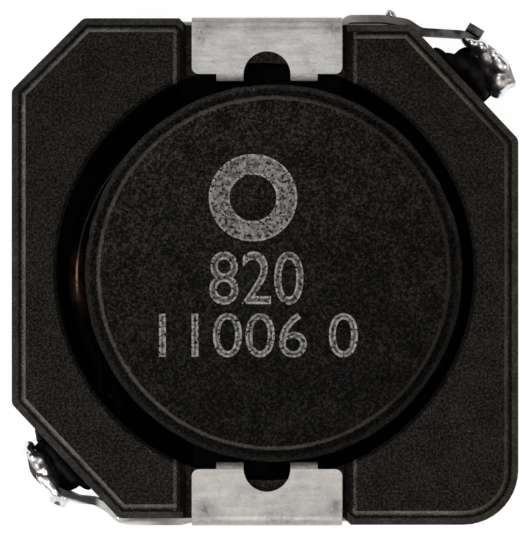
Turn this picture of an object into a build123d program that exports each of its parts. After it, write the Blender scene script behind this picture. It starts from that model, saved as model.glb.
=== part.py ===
from build123d import *
import math
import os

# Shielded surface-mount power inductor, in millimetres.
# A ferrite drum carries the winding and stands in the round bore of a ferrite shield.
# Two folded terminal clips grip the shield's far and near edges. Each clip has an arm
# that runs round a big chamfer and ends in a hook, where two wire ends are soldered.
# X is to the right, Y away and Z up. The origin is on the board, under the middle.

os.makedirs("parts", exist_ok=True)

# Shield core, pressed ferrite
shield_length = 10.10
shield_width = 10.10
shield_height = 3.75
shield_wall = 0.88
board_gap = 0.05
lead_corner_x = 2.26
lead_corner_y = 2.41
plain_corner = 1.43
round_corner = 1.10
corner_softness = 0.18
base_bevel = 0.12
bore_edge_bevel = 0.06

# Pressed rim that both cores have round their top faces
rim_land = 0.13
rim_slope = 0.15
rim_step = 0.12

# Drum core, which stands a little off the middle of the bore, as it was glued
drum_height = 3.55
core_gap = 0.40
drum_offset_x = 0.17
drum_offset_y = -0.03
drum_base_bevel = 0.10

# Winding, two enamelled strands in hand. A led-out strand is round, drawn with sixteen
# sides so that its bends stay light.
strand_diameter = 0.34
strand_sides = 16
strand_gap = 0.01
strands_per_layer = 6
layer_count = 4
layer_nesting = 0.02
post_fit = 0.03
winding_inset = 0.39
window_clearance = 0.05
ridge_depth = 0.09
ridge_crest = 0.14

# Terminal clips, folded from tinned sheet
sheet = 0.15
bend_radius = 0.10
terminal_width = 3.00
terminal_shift = 0.04
pad_under_drum = 0.44
notch_radius = 0.47
notch_inset = 0.11
shoulder_inset = 0.13
plate_corner_radius = 0.14
finger_width = 0.54
finger_drop = 0.60
finger_clearance = 0.01

# Recesses of the shield for the terminals
recess_play = 0.08
recess_slope = 0.12
plate_sink = 0.07
side_setback = 0.13
fold_clearance = 0.03

# Places beside a big chamfer are measured from its middle: out is square to the
# chamfer, and along runs beside it, away from the arm
lead_clearance = 0.03
far_lead_along = -0.30
near_lead_along = 0.10
far_tail_along = 0.40
near_tail_along = 0.74
lead_bend_radius = 0.30

# Arms of the terminal clips, bent by hand, so each is a little different. An arm's way
# along the wall is given in shares of its run from the clip to the chamfer, onward and out.
# Its corner points follow, from the chamfer's start, and then the hook beside the chamfer.
arm_height = 1.00
arm_drop = 0.325
arm_soft_bend_share = 0.70
start_arm_way = ((0.014, 0), (0.113, 0.080), (0.623, 0.080), (0.949, 0.025))
start_arm_corner = ((0.358, 0.089),)
finish_arm_way = ((0.014, 0), (0.180, 0.040), (0.900, 0.040), (1.055, 0.004))
finish_arm_corner = ((0.449, 0.125), (0.764, 0.216))
arm_corner_bend = 0.35
hook_clearance = 0.08
hook_root_bend = 0.30
hook_belly_bend = 1.00
hook_tip_bend = 0.40
start_hook_root_lead = 0.36
start_hook_root_draw = 0.19
start_hook_tip_draw = 0.16
start_ear_lead = 0
finish_far_out_draw = 0.16
finish_hook_root_lead = 0.333
finish_hook_root_draw = 0.271
finish_hook_tip_draw = 0.23
finish_ear_lead = 0.20
ear_length = 0.34
ear_width = 0.21
ear_height = 0.62

# Openings below the big chamfers, where the wire ends come out
opening_side_clearance = 0.38
opening_top_clearance = 0.20
opening_corner_radius = 0.30

# Roots of the leads in the winding, and the way that the finish leads swing round the
# gap, on arcs whose middles lie off the drum's axis and whose starts lie in the winding
start_root_depth = 0.40
swing_clearance = 0.17
far_swing_shift = 0.54
far_swing_heading = 215
far_swing_start = 75
near_swing_shift = 0.45
near_swing_heading = 195
near_swing_start = 52

# Solder of one joint, which covers the wire ends and stands over the hook's edges
solder_root_inset = 0.03
solder_step_lead = 0.06
solder_end_lead = 0.17
solder_back = 0.18
solder_overhang = 0.05
solder_height = 1.12
solder_shoulder = 0.11
solder_corner_radius = 0.13

# Adhesive between the drum's lower flange and the bore
bead_width = 1.70
bead_height = 0.50
bead_rise = 0.12
bead_film = 0.01
bead_headings = (103, 163, 283, 343)

# Shield and recesses, worked out from the sizes above
half_length = shield_length / 2
half_width = shield_width / 2
shield_top = board_gap + shield_height
bore_radius = min(half_length, half_width) - shield_wall
flange_radius = bore_radius - core_gap
side_wall_y = half_width - side_setback
plate_underside = shield_top - plate_sink - sheet
recess_floor_half = terminal_width / 2 + recess_play
recess_half = recess_floor_half + recess_slope
run_in_half = recess_floor_half + side_setback
fold_relief = bend_radius + fold_clearance

# Winding and drum, worked out
strand_radius = strand_diameter / 2
strand_pitch = strand_diameter + strand_gap
layer_pitch = strand_diameter - layer_nesting
winding_height = strands_per_layer * strand_pitch
flange_thickness = (drum_height - winding_height - window_clearance) / 2
drum_bottom = sheet
drum_top = drum_bottom + drum_height
winding_bottom = drum_bottom + flange_thickness
upper_flange_bottom = drum_top - flange_thickness
winding_outer_radius = flange_radius - winding_inset
winding_depth = strand_diameter + (layer_count - 1) * layer_pitch
winding_inner_radius = winding_outer_radius - winding_depth
post_radius = winding_inner_radius - post_fit
lead_level = winding_bottom + strand_pitch / 2
raised_level = lead_level + strand_pitch
swing_reach = bore_radius - strand_radius + drum_offset_x - swing_clearance

# The big chamfer's middle, and its outward and onward directions
chamfer_length = math.hypot(lead_corner_x, lead_corner_y)
chamfer_middle = Vector(half_length - lead_corner_x / 2, half_width - lead_corner_y / 2)
outward = Vector(lead_corner_y, lead_corner_x) / chamfer_length
onward = Vector(lead_corner_x, -lead_corner_y) / chamfer_length
chamfer_distance = chamfer_middle.dot(outward)
chamfer_start_x = half_length - lead_corner_x * (1 - side_setback / lead_corner_y)

# Each lead: its place along the chamfer, its run out and the end of its tail
near_out = lead_clearance + strand_radius
far_out = near_out + strand_pitch
finish_far_out = far_out - finish_far_out_draw
start_far_lead = (far_lead_along, far_out, far_tail_along)
finish_far_lead = (far_lead_along, finish_far_out, far_tail_along)
near_lead = (near_lead_along, near_out, near_tail_along)
start_root_out = winding_inner_radius + start_root_depth - chamfer_distance
opening_middle = (far_lead_along + near_lead_along) / 2
opening_width = (
    near_lead_along - far_lead_along + strand_diameter + 2 * opening_side_clearance
)
opening_top = raised_level + strand_radius + opening_top_clearance

# Terminal clip, worked out
fold_middle_radius = bend_radius + sheet / 2
wall_middle_y = side_wall_y + sheet / 2
plate_middle_z = plate_underside + sheet / 2
finger_face_y = flange_radius + abs(drum_offset_y) + finger_clearance
shoulder_y = finger_face_y + shoulder_inset
notch_centre_y = finger_face_y + notch_inset
arm_bottom = lead_level - arm_drop
hook_level = arm_bottom + arm_height / 2
arm_run = chamfer_start_x - terminal_width / 2
arm_soft_bend = arm_run * arm_soft_bend_share
start_hook_out = far_out + strand_radius + hook_clearance + sheet / 2
finish_hook_out = finish_far_out + strand_radius + hook_clearance + sheet / 2

drum_plane = Plane(
    origin=(drum_offset_x, drum_offset_y, 0), x_dir=(1, 0, 0), z_dir=(0, -1, 0)
)
drum_axis = Axis((drum_offset_x, drum_offset_y, 0), (0, 0, 1))


def corner_point(along, out, turn=0):
    """A point beside the big chamfer, turned half round for the finish corner"""
    spot = (chamfer_middle + onward * along + outward * out).rotate(Axis.Z, turn)
    return (spot.X, spot.Y)


def drum_point(radius, heading):
    """A point beside the drum's axis"""
    spot = Vector(drum_offset_x, drum_offset_y) + Vector(radius, 0).rotate(Axis.Z, heading)
    return (spot.X, spot.Y)


def sweep_strand(path):
    """Sweep one round strand along a path, into the open part"""
    spine = path.wire()
    with BuildSketch(Plane(origin=spine @ 0, z_dir=spine % 0)) as section:
        RegularPolygon(strand_radius, strand_sides)
    sweep(section.sketch, path=spine)


# Shield core: the outline is the same after half a turn, apart from two corners.
# Beside each arm the side is set back, so that the arm lies in line with the clip.
with BuildPart() as shield_core:
    with BuildSketch(Plane.XY.offset(board_gap)) as outline:
        with BuildLine():
            Polyline(
                (half_length, half_width - lead_corner_y),
                (chamfer_start_x, side_wall_y),
                (-recess_floor_half, side_wall_y),
                (-run_in_half, half_width),
                (-half_length + plain_corner, half_width),
                (-half_length, half_width - plain_corner),
                (-half_length, -half_width + lead_corner_y),
                (-chamfer_start_x, -side_wall_y),
                (recess_floor_half, -side_wall_y),
                (run_in_half, -half_width),
                (half_length, -half_width),
                close=True,
            )
        make_face()
        sharp_corner = outline.vertices().sort_by_distance((half_length, -half_width))[0]
        fillet(sharp_corner, round_corner)
        blunt_corners = [
            outline.vertices().sort_by_distance(spot)[0]
            for spot in (
                (half_length, half_width - lead_corner_y),
                (chamfer_start_x, side_wall_y),
                (-half_length + plain_corner, half_width),
                (-half_length, half_width - plain_corner),
                (-half_length, -half_width + lead_corner_y),
                (-chamfer_start_x, -side_wall_y),
            )
        ]
        fillet(blunt_corners, corner_softness)
    extrude(amount=shield_height - rim_step)
    chamfer(shield_core.faces().sort_by(Axis.Z)[0].edges(), base_bevel)
    with BuildSketch(Plane.XY.offset(shield_top - rim_step)):
        add(outline.sketch.moved(Location((0, 0, shield_height - rim_step))))
        offset(amount=-rim_land, kind=Kind.INTERSECTION)
    extrude(amount=rim_step, taper=math.degrees(math.atan2(rim_slope, rim_step)))
    with BuildSketch(Plane.XY.offset(board_gap)):
        Circle(bore_radius)
    extrude(amount=shield_height, mode=Mode.SUBTRACT)
    bore_edges = shield_core.edges().filter_by(GeomType.CIRCLE).filter_by(
        lambda edge: abs(edge.radius - bore_radius) < bore_edge_bevel / 2
    )
    chamfer(bore_edges, bore_edge_bevel)
    with BuildSketch(Plane.XZ):
        with BuildLine():
            Polyline(
                (-recess_half, shield_top),
                (-recess_floor_half, plate_underside),
                (recess_floor_half, plate_underside),
                (recess_half, shield_top),
                close=True,
            )
        make_face()
        with Locations((0, board_gap)):
            Rectangle(
                2 * recess_floor_half, sheet - board_gap, align=(Align.CENTER, Align.MIN)
            )
    extrude(amount=half_width, both=True, mode=Mode.SUBTRACT)
    with BuildSketch(Plane.YZ):
        for side in (1, -1):
            for level, inward in ((plate_underside, -1), (sheet, 1)):
                with BuildLine():
                    Polyline(
                        (side * side_wall_y, level + inward * fold_relief),
                        (side * half_width, level + inward * fold_relief),
                        (side * half_width, level),
                        (side * (side_wall_y - fold_relief), level),
                        close=True,
                    )
                make_face()
    extrude(amount=recess_floor_half, both=True, mode=Mode.SUBTRACT)
    for turn in (0, 180):
        opening_plane = Plane(
            origin=(*corner_point(opening_middle, 0, turn), board_gap),
            x_dir=onward.rotate(Axis.Z, turn),
            z_dir=outward.rotate(Axis.Z, turn),
        )
        with BuildSketch(opening_plane):
            RectangleRounded(
                opening_width, 2 * (opening_top - board_gap), opening_corner_radius
            )
        extrude(amount=-bore_radius / 2, mode=Mode.SUBTRACT)
shield_core.part.label = "shield_core"
export_step(shield_core.part, "parts/shield_core.step")

# Drum core: turned from its half section, with the pressed rim on the top flange
with BuildPart() as drum_core:
    with BuildSketch(drum_plane):
        with BuildLine():
            Polyline(
                (0, drum_bottom),
                (flange_radius - drum_base_bevel, drum_bottom),
                (flange_radius, drum_bottom + drum_base_bevel),
                (flange_radius, winding_bottom),
                (post_radius, winding_bottom),
                (post_radius, upper_flange_bottom),
                (flange_radius, upper_flange_bottom),
                (flange_radius, drum_top - rim_step),
                (flange_radius - rim_land, drum_top - rim_step),
                (flange_radius - rim_land - rim_slope, drum_top),
                (0, drum_top),
                close=True,
            )
        make_face()
    revolve(axis=drum_axis)
drum_core.part.label = "drum_core"
export_step(drum_core.part, "parts/drum_core.step")

# Winding: the turns are one ring with a ridge for each turn of the outer layer.
# The start leads run straight out over the lower flange. The finish leads leave the
# ring in wide arcs, swing round the gap beside the drum and turn out at the other corner.
with BuildPart() as winding:
    with BuildSketch(drum_plane):
        with BuildLine():
            ridge_foot = winding_outer_radius - ridge_depth
            for ridge in range(strands_per_layer):
                foot = winding_bottom + ridge * strand_pitch
                crest = foot + (strand_pitch - ridge_crest) / 2
                Polyline(
                    (ridge_foot, foot),
                    (winding_outer_radius, crest),
                    (winding_outer_radius, crest + ridge_crest),
                    (ridge_foot, foot + strand_pitch),
                )
            Polyline(
                (ridge_foot, winding_bottom + winding_height),
                (winding_inner_radius, winding_bottom + winding_height),
                (winding_inner_radius, winding_bottom),
                (ridge_foot, winding_bottom),
            )
        make_face()
    revolve(axis=drum_axis)
    for along, out, tail_along in (start_far_lead, near_lead):
        with BuildLine(Plane.XY.offset(lead_level)) as lead:
            FilletPolyline(
                corner_point(along, start_root_out),
                corner_point(along, out),
                corner_point(tail_along, out),
                radius=lead_bend_radius,
            )
        sweep_strand(lead)
    for level, (along, out, tail_along), shift, heading, leave in (
        (lead_level, finish_far_lead, far_swing_shift, far_swing_heading, far_swing_start),
        (raised_level, near_lead, near_swing_shift, near_swing_heading, near_swing_start),
    ):
        turn_out = corner_point(along, out, 180)
        swing_middle = drum_point(shift, heading)
        with BuildLine(Plane.XY.offset(level)) as lead:
            way_out = Line(
                corner_point(along, -chamfer_distance, 180), turn_out, mode=Mode.PRIVATE
            )
            swing = CenterArc(swing_middle, swing_reach - shift, leave, way_out)
            Polyline(swing @ 1, turn_out, corner_point(tail_along, out, 180))
            for spot in (swing @ 1, turn_out):
                fillet(lead.vertices().sort_by_distance(spot)[0], lead_bend_radius)
        sweep_strand(lead)
winding.part.label = "winding"
export_step(winding.part, "parts/winding.step")

# Terminal clip: one sheet, folded over the shield's edge from the notched top plate,
# down the side and back under as the solder pad. Two fingers point down into the gap
# beside the drum.
with BuildPart() as clip:
    with BuildSketch(Plane.YZ):
        with BuildLine():
            FilletPolyline(
                (shoulder_y, plate_middle_z),
                (wall_middle_y, plate_middle_z),
                (wall_middle_y, sheet / 2),
                (flange_radius - pad_under_drum, sheet / 2),
                radius=fold_middle_radius,
            )
        trace(line_width=sheet)
    extrude(amount=terminal_width / 2, both=True)
    with BuildSketch(Plane.YZ.offset(notch_radius)):
        with BuildLine():
            FilletPolyline(
                (finger_face_y + sheet / 2, plate_underside + sheet - finger_drop),
                (finger_face_y + sheet / 2, plate_middle_z),
                (notch_centre_y + notch_radius, plate_middle_z),
                radius=fold_middle_radius,
            )
        trace(line_width=sheet)
    extrude(amount=finger_width)
    mirror(about=Plane.YZ)
    with BuildSketch(Plane.XY.offset(plate_underside)):
        with Locations((0, notch_centre_y)):
            Circle(notch_radius)
            Rectangle(2 * notch_radius, notch_radius, align=(Align.CENTER, Align.MAX))
    extrude(amount=sheet, mode=Mode.SUBTRACT)
    upright_edges = clip.edges().filter_by(Axis.Z)
    plate_corners = [
        upright_edges.sort_by_distance((side * terminal_width / 2, shoulder_y, plate_middle_z))[0]
        for side in (1, -1)
    ]
    fillet(plate_corners, plate_corner_radius)


def add_arm(way, corner, hook_out, root_lead, root_draw, tip_draw, ear_lead):
    """Add to the open part the arm, its hook, and the ear that is folded out and up"""
    root = corner_point(far_lead_along - root_lead, hook_out - root_draw)
    belly = corner_point(0, hook_out)
    points = [(terminal_width / 2 - sheet, wall_middle_y)]
    for onward_share, out_share in way:
        points.append(
            (terminal_width / 2 + arm_run * onward_share, wall_middle_y + arm_run * out_share)
        )
    for inset, out in corner:
        points.append(corner_point(inset - chamfer_length / 2, out))
    points += [root, belly, corner_point(far_tail_along, hook_out)]
    points.append(corner_point(near_tail_along, hook_out - tip_draw))
    bends = [fold_middle_radius, fold_middle_radius, arm_soft_bend, arm_corner_bend]
    bends += [arm_corner_bend] * len(corner)
    bends += [hook_root_bend, hook_belly_bend, hook_tip_bend]
    with BuildSketch(Plane.XY.offset(arm_bottom)) as strip:
        with BuildLine():
            FilletPolyline(*points, radius=bends)
        trace(line_width=sheet)
    extrude(strip.sketch, amount=arm_height)
    ear_along = (Vector(*belly) - Vector(*root)).normalized()
    ear_origin = Vector(*root) + ear_along * ear_lead
    ear_plane = Plane(
        origin=ear_origin, x_dir=ear_along.rotate(Axis.Z, 90), z_dir=ear_along
    )
    with BuildSketch(ear_plane) as ear:
        with BuildLine():
            FilletPolyline(
                (0, arm_bottom + sheet),
                (0, arm_bottom - sheet),
                (ear_width, arm_bottom - sheet),
                (ear_width, arm_bottom + ear_height),
                radius=bend_radius,
            )
        trace(line_width=sheet)
    extrude(ear.sketch, amount=ear_length)


with BuildPart() as start_clip:
    add(clip.part)
    add_arm(
        start_arm_way,
        start_arm_corner,
        start_hook_out,
        start_hook_root_lead,
        start_hook_root_draw,
        start_hook_tip_draw,
        start_ear_lead,
    )

with BuildPart() as start_terminal:
    with Locations((terminal_shift, 0, 0)):
        add(start_clip.part)
start_terminal.part.label = "start_terminal"
export_step(start_terminal.part, "parts/start_terminal.step")

with BuildPart() as finish_clip:
    add(clip.part)
    add_arm(
        finish_arm_way,
        finish_arm_corner,
        finish_hook_out,
        finish_hook_root_lead,
        finish_hook_root_draw,
        finish_hook_tip_draw,
        finish_ear_lead,
    )

with BuildPart() as finish_terminal:
    with Locations((terminal_shift, 0, 0)):
        add(finish_clip.part, rotation=(0, 0, 180))
finish_terminal.part.label = "finish_terminal"
export_step(finish_terminal.part, "parts/finish_terminal.step")

# Solder: a lump over the straight tails of both strands, up against the hook. Its outline
# is drawn in plan, from the far strand's bend to past the near strand's end, and its top
# and base are bevelled.
def solder_joint(turn, terminal, strand_out, hook_out, tip_draw):
    """The solder of one corner, without the wire ends and the sheet that it wets"""
    solder_root = far_lead_along + lead_bend_radius + solder_root_inset
    solder_step = near_lead_along + lead_bend_radius + solder_step_lead
    joint_end = near_tail_along + solder_end_lead
    with BuildPart() as joint:
        with BuildSketch(Plane.XY.offset(hook_level - solder_height / 2)) as plan:
            with BuildLine():
                Polyline(
                    corner_point(solder_root, hook_out, turn),
                    corner_point(solder_root, strand_out, turn),
                    corner_point(solder_step, strand_out, turn),
                    corner_point(solder_step, near_out - solder_back, turn),
                    corner_point(near_tail_along, near_out - solder_back, turn),
                    corner_point(joint_end, near_out, turn),
                    corner_point(joint_end, hook_out - tip_draw, turn),
                    corner_point(far_tail_along, hook_out + solder_overhang, turn),
                    close=True,
                )
            make_face()
            fillet(plan.vertices(), solder_corner_radius)
        extrude(amount=solder_height)
        chamfer(joint.edges().group_by(Axis.Z)[-1], solder_shoulder)
        chamfer(joint.edges().group_by(Axis.Z)[0], solder_shoulder)
        add(winding.part, mode=Mode.SUBTRACT)
        add(terminal.part, mode=Mode.SUBTRACT)
    return joint


start_solder = solder_joint(
    0, start_terminal, far_out, start_hook_out, start_hook_tip_draw
)
start_solder.part.label = "start_solder"
export_step(start_solder.part, "parts/start_solder.step")

finish_solder = solder_joint(
    180, finish_terminal, finish_far_out, finish_hook_out, finish_hook_tip_draw
)
finish_solder.part.label = "finish_solder"
export_step(finish_solder.part, "parts/finish_solder.step")

# Adhesive: beads between the lower flange's rim and the bore, clear of the openings
with BuildPart() as core_adhesive:
    with BuildSketch(Plane.XY.offset(drum_bottom + bead_rise)):
        Circle(bore_radius - bead_film)
        with Locations((drum_offset_x, drum_offset_y)):
            Circle(flange_radius + bead_film, mode=Mode.SUBTRACT)
        with BuildSketch(mode=Mode.INTERSECT):
            for heading in bead_headings:
                with Locations(Location((0, 0, 0), (0, 0, heading))):
                    Rectangle(bore_radius, bead_width, align=(Align.MIN, Align.CENTER))
    extrude(amount=bead_height)
core_adhesive.part.label = "core_adhesive"
export_step(core_adhesive.part, "parts/core_adhesive.step")
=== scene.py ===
# %% [markdown]
# # A shielded surface-mount inductor, seen straight from above
# The part is about ten millimetres square: a dark ferrite shield with a wound ferrite drum
# in its bore, two bright folded terminals and two soldered hooks at opposite corners.
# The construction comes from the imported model. This lesson only dresses it: it gives every
# surface its finish, and it makes in mesh code what a solid can't hold, such as the turns of
# wire, the frozen solder and the ragged print.

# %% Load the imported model
import math

import bmesh
import bpy
import numpy as np
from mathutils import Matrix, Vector
from mathutils import noise


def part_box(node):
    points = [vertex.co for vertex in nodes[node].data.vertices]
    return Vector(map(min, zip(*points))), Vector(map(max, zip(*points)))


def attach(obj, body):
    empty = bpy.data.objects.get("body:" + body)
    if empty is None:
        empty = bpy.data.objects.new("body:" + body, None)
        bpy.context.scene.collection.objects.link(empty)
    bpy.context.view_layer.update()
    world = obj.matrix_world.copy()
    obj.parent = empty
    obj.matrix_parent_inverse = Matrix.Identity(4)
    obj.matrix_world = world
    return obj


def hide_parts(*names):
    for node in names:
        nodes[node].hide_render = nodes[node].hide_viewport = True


MM = 0.001
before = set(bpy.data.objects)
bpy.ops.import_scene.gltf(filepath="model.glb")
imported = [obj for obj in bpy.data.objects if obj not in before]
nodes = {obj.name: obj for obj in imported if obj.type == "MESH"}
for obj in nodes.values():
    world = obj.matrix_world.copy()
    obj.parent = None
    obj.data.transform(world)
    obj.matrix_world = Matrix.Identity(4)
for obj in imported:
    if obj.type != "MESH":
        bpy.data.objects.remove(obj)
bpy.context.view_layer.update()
print("nodes:", ", ".join(sorted(nodes)))

# %% [markdown]
# ## Camera
# The photograph looks straight down, from about fifteen times the part's own width, so the
# sides hardly show. A long lens at that distance gives the same view. The height of the
# frame at the shield's top face is known, and with a vertical sensor fit it fixes the lens.

# %% Set up the camera
SHIELD_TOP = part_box("shield_core")[1].z / MM
CAMERA_RISE = 150.0
VIEW_HEIGHT = 10.697
VIEW_MIDDLE_Y = 0.06
SENSOR = 36.0

camera_data = bpy.data.cameras.new("camera")
camera_data.sensor_fit = "VERTICAL"
camera_data.sensor_height = SENSOR
camera_data.lens = SENSOR * CAMERA_RISE / VIEW_HEIGHT
camera_data.clip_start = 1 * MM
camera = bpy.data.objects.new("camera", camera_data)
camera.location = Vector((0, VIEW_MIDDLE_Y, SHIELD_TOP + CAMERA_RISE)) * MM
bpy.context.scene.collection.objects.link(camera)
bpy.context.scene.camera = camera
bpy.context.scene.view_settings.view_transform = "Standard"
print("lens in mm:", round(camera_data.lens, 1))

# %% [markdown]
# ## Shader arithmetic
# A finish is a small calculation about each point of a surface. Written as nodes by hand it
# is hard to read, so one class stands for a node's output and turns Python's own operators
# into Math nodes. A second class holds the material and adds every other kind of node.

# %% A socket that can be added, multiplied and compared
class Socket:
    """One value or colour in a material; arithmetic on it adds Math nodes."""

    def __init__(self, recipe, end):
        self.recipe = recipe
        self.end = end

    def math(self, operation, first, second):
        """One Math node"""
        ends = {0: first, 1: second}
        return self.recipe.add("ShaderNodeMath", {"operation": operation}, ends)

    def __add__(self, other):
        return self.math("ADD", self, other)

    def __sub__(self, other):
        return self.math("SUBTRACT", self, other)

    def __rsub__(self, other):
        return self.math("SUBTRACT", other, self)

    def __mul__(self, other):
        return self.math("MULTIPLY", self, other)

    def __pow__(self, other):
        return self.math("POWER", self, other)

    def most(self, other):
        """The larger of the two"""
        return self.math("MAXIMUM", self, other)

    def rise(self, low, high):
        """0 below low, 1 above high, and a soft step between"""
        ends = {"Value": self, "From Min": low, "From Max": high}
        return self.recipe.add("ShaderNodeMapRange", {"interpolation_type": "SMOOTHSTEP"}, ends)

    def band(self, start, full, fading, gone):
        """1 from full to fading, 0 before start and after gone, with soft steps between"""
        return self.rise(start, full) * (1 - self.rise(fading, gone))

    __radd__ = __add__
    __rmul__ = __mul__


print("sockets can be added, subtracted, multiplied, raised to a power and compared")


# %% A recipe that builds one material
class Recipe:
    """One material; add() makes any node and hands back one of its outputs."""

    def __init__(self, name):
        self.material = bpy.data.materials.new(name)
        self.material.use_nodes = True
        self.tree = self.material.node_tree
        self.tree.nodes.clear()
        where = self.add("ShaderNodeTexCoord", output="Object")
        self.place = self.vector("SCALE", {0: where, "Scale": 1 / MM})

    def add(self, kind, settings=None, sockets=None, output=0):
        """Any node: its type, its settings, and the values or links of its sockets"""
        node = self.tree.nodes.new(kind)
        for key, value in (settings or {}).items():
            setattr(node, key, value)
        for key, value in (sockets or {}).items():
            if isinstance(value, Socket):
                self.tree.links.new(value.end, node.inputs[key])
            else:
                node.inputs[key].default_value = value
        return Socket(self, node.outputs[output]) if node.outputs else None

    def vector(self, operation, ends, output=0):
        """One Vector Math node"""
        return self.add("ShaderNodeVectorMath", {"operation": operation}, ends, output)

    def noise(self, scale, detail=2.0, roughness=0.5, stretch=(1, 1, 1)):
        """Soft noise from 0 to 1; scale is in cells for each millimetre"""
        place = self.vector("MULTIPLY", {0: self.place, 1: stretch})
        sockets = {"Vector": place, "Scale": scale, "Detail": detail, "Roughness": roughness}
        return self.add("ShaderNodeTexNoise", None, sockets)

    def cells(self, scale):
        """Distance from the nearest of many scattered points"""
        sockets = {"Vector": self.place, "Scale": scale}
        return self.add("ShaderNodeTexVoronoi", None, sockets)

    def away(self, middle=(0, 0, 0)):
        """Distance from an upright line through a place in millimetres"""
        flat = self.vector("MULTIPLY", {0: self.place, 1: (1, 1, 0)})
        return self.vector("DISTANCE", {0: flat, 1: middle}, output=1)

    def axis(self, name, vector=None):
        """X, Y or Z of a vector, or of the place in millimetres"""
        sockets = {0: vector or self.place}
        return self.add("ShaderNodeSeparateXYZ", None, sockets, output=name)

    def span(self, name):
        """Distance from the part's middle along X or Y, whichever way"""
        along = self.axis(name)
        return along.most(along * -1)

    def colour(self, share, first, second):
        """The first colour where share is 0, and the second where it is 1"""
        sockets = {0: share, 6: first, 7: second}
        return self.add("ShaderNodeMix", {"data_type": "RGBA"}, sockets, output=2)

    def tint(self, colour, level):
        """A colour times a level"""
        return self.vector("SCALE", {0: colour, "Scale": level})

    def bump(self, height, depth):
        """A normal from a height of 0 to 1 that stands for a depth in millimetres"""
        sockets = {"Height": height, "Strength": 1.0, "Distance": depth * MM}
        return self.add("ShaderNodeBump", None, sockets)

    def shader(self, **sockets):
        """A Principled shader; underscores stand for the spaces in its sockets' names"""
        named = {key.replace("_", " "): value for key, value in sockets.items()}
        return self.add("ShaderNodeBsdfPrincipled", None, named)

    def join(self, shader):
        """Ends the material with a shader"""
        self.add("ShaderNodeOutputMaterial", None, {"Surface": shader})
        return self.material

    def surface(self, **sockets):
        """Ends the material with a Principled shader"""
        return self.join(self.shader(**sockets))


def grey(level, warmth=0.0):
    """A grey colour, a little warmer or cooler by the second number"""
    return (level * (1 + warmth), level, level * (1 - warmth), 1.0)


print("a plain warm grey:", grey(0.5, 0.02))

# %% [markdown]
# ## Light and floor
# The part was photographed on white, under soft light from above with more of it from the
# left. Shiny solder mirrors the dark room, with a few bright glints, so the world stays dim
# and area lamps do the work. One overhead lamp gives the glints, and four lower ones round
# the part light its sides. Each lamp's power is worked out from the share of the light that
# it gives, so that a white card on the floor would render just white.

# %% Place the lamps
def direction(azimuth, elevation):
    """The direction of a lamp from the part"""
    turn = math.radians(azimuth)
    lift = math.radians(elevation)
    level = Vector((math.sin(turn), math.cos(turn), 0)) * math.cos(lift)
    return level + Vector((0, 0, math.sin(lift)))


def lamp(name, azimuth, elevation, distance, size, share, colour=(1, 1, 1)):
    """A square lamp that points at the part; share is its part of a plain light level"""
    data = bpy.data.lights.new(name, "AREA")
    data.size = size * MM
    data.energy = math.pi**2 * (distance * MM) ** 2 * share / math.sin(math.radians(elevation))
    data.color = colour
    source = bpy.data.objects.new(name, data)
    way = direction(azimuth, elevation)
    source.location = way * distance * MM
    source.rotation_euler = way.to_track_quat("Z", "Y").to_euler()
    bpy.context.scene.collection.objects.link(source)
    print(name, "lamp, share", share)


WARM_LIGHT = (1.0, 0.90, 0.78)
lamp("overhead", 0, 90, distance=170, size=36, share=0.12)
lamp("ceiling", 0, 90, distance=200, size=320, share=0.32)
lamp("left", 232, 42, distance=120, size=90, share=0.30)
lamp("near", 190, 35, distance=120, size=60, share=0.10)
lamp("right", 90, 35, distance=120, size=60, share=0.10, colour=WARM_LIGHT)
lamp("far", 0, 35, distance=120, size=60, share=0.08)

# %% Light the world dimly
ROOM_STRENGTH = 0.05
world = bpy.data.worlds.new("room")
world.use_nodes = True
room = world.node_tree.nodes["Background"]
room.inputs["Color"].default_value = (1, 1, 1, 1)
room.inputs["Strength"].default_value = ROOM_STRENGTH
bpy.context.scene.world = world
print("room strength:", ROOM_STRENGTH)

# %% Mix the floor's finish
PAINTED_FLOOR_SHADOW = grey(0.004)
PAPER_DARK = grey(0.74)
PAPER_PALE = grey(0.78)
SEEN_SHADE = grey(0.20)
SEEN_GLOW = grey(0.92)

# Under the bore, the body and its chamfers the floor gets a painted shadow, as far as
# these reaches in mm
BORE_REACH = (4.3, 4.9)
BODY_REACH = (5.07, 5.13)
CHAMFER_REACH = (7.55, 7.70)


def floor_finish():
    """White paper, as the camera and reflections see it, with a painted shadow under the part
    """
    recipe = Recipe("white_paper")
    fibre = recipe.noise(0.6, 3.0)
    across = recipe.span("X")
    lengthways = recipe.span("Y")
    painted_shadow = 1 - across.most(lengthways).rise(*BODY_REACH)
    painted_shadow = painted_shadow * (1 - (across + lengthways).rise(*CHAMFER_REACH))
    clear = recipe.away().rise(*BORE_REACH) * (1 - 0.85 * painted_shadow)
    paper = recipe.colour(fibre, PAPER_DARK, PAPER_PALE)
    lit = recipe.shader(
        Base_Color=recipe.colour(clear, PAINTED_FLOOR_SHADOW, paper),
        Roughness=1.0,
        Specular_IOR_Level=0.0,
    )
    seen = recipe.shader(
        Base_Color=recipe.colour(clear, PAINTED_FLOOR_SHADOW, SEEN_SHADE),
        Roughness=1.0,
        Specular_IOR_Level=0.0,
        Emission_Color=recipe.colour(clear, grey(0.0), SEEN_GLOW),
        Emission_Strength=1.0,
    )
    ray = "ShaderNodeLightPath"
    direct = recipe.add(ray, output="Is Camera Ray")
    mirrored = recipe.add(ray, output="Is Glossy Ray")
    through = recipe.add(ray, output="Is Transmission Ray")
    share = direct.most(mirrored).most(through)
    return recipe.join(recipe.add("ShaderNodeMixShader", None, {0: share, 1: lit, 2: seen}))


PAPER = floor_finish()
print("floor's finish:", PAPER.name)

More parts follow.
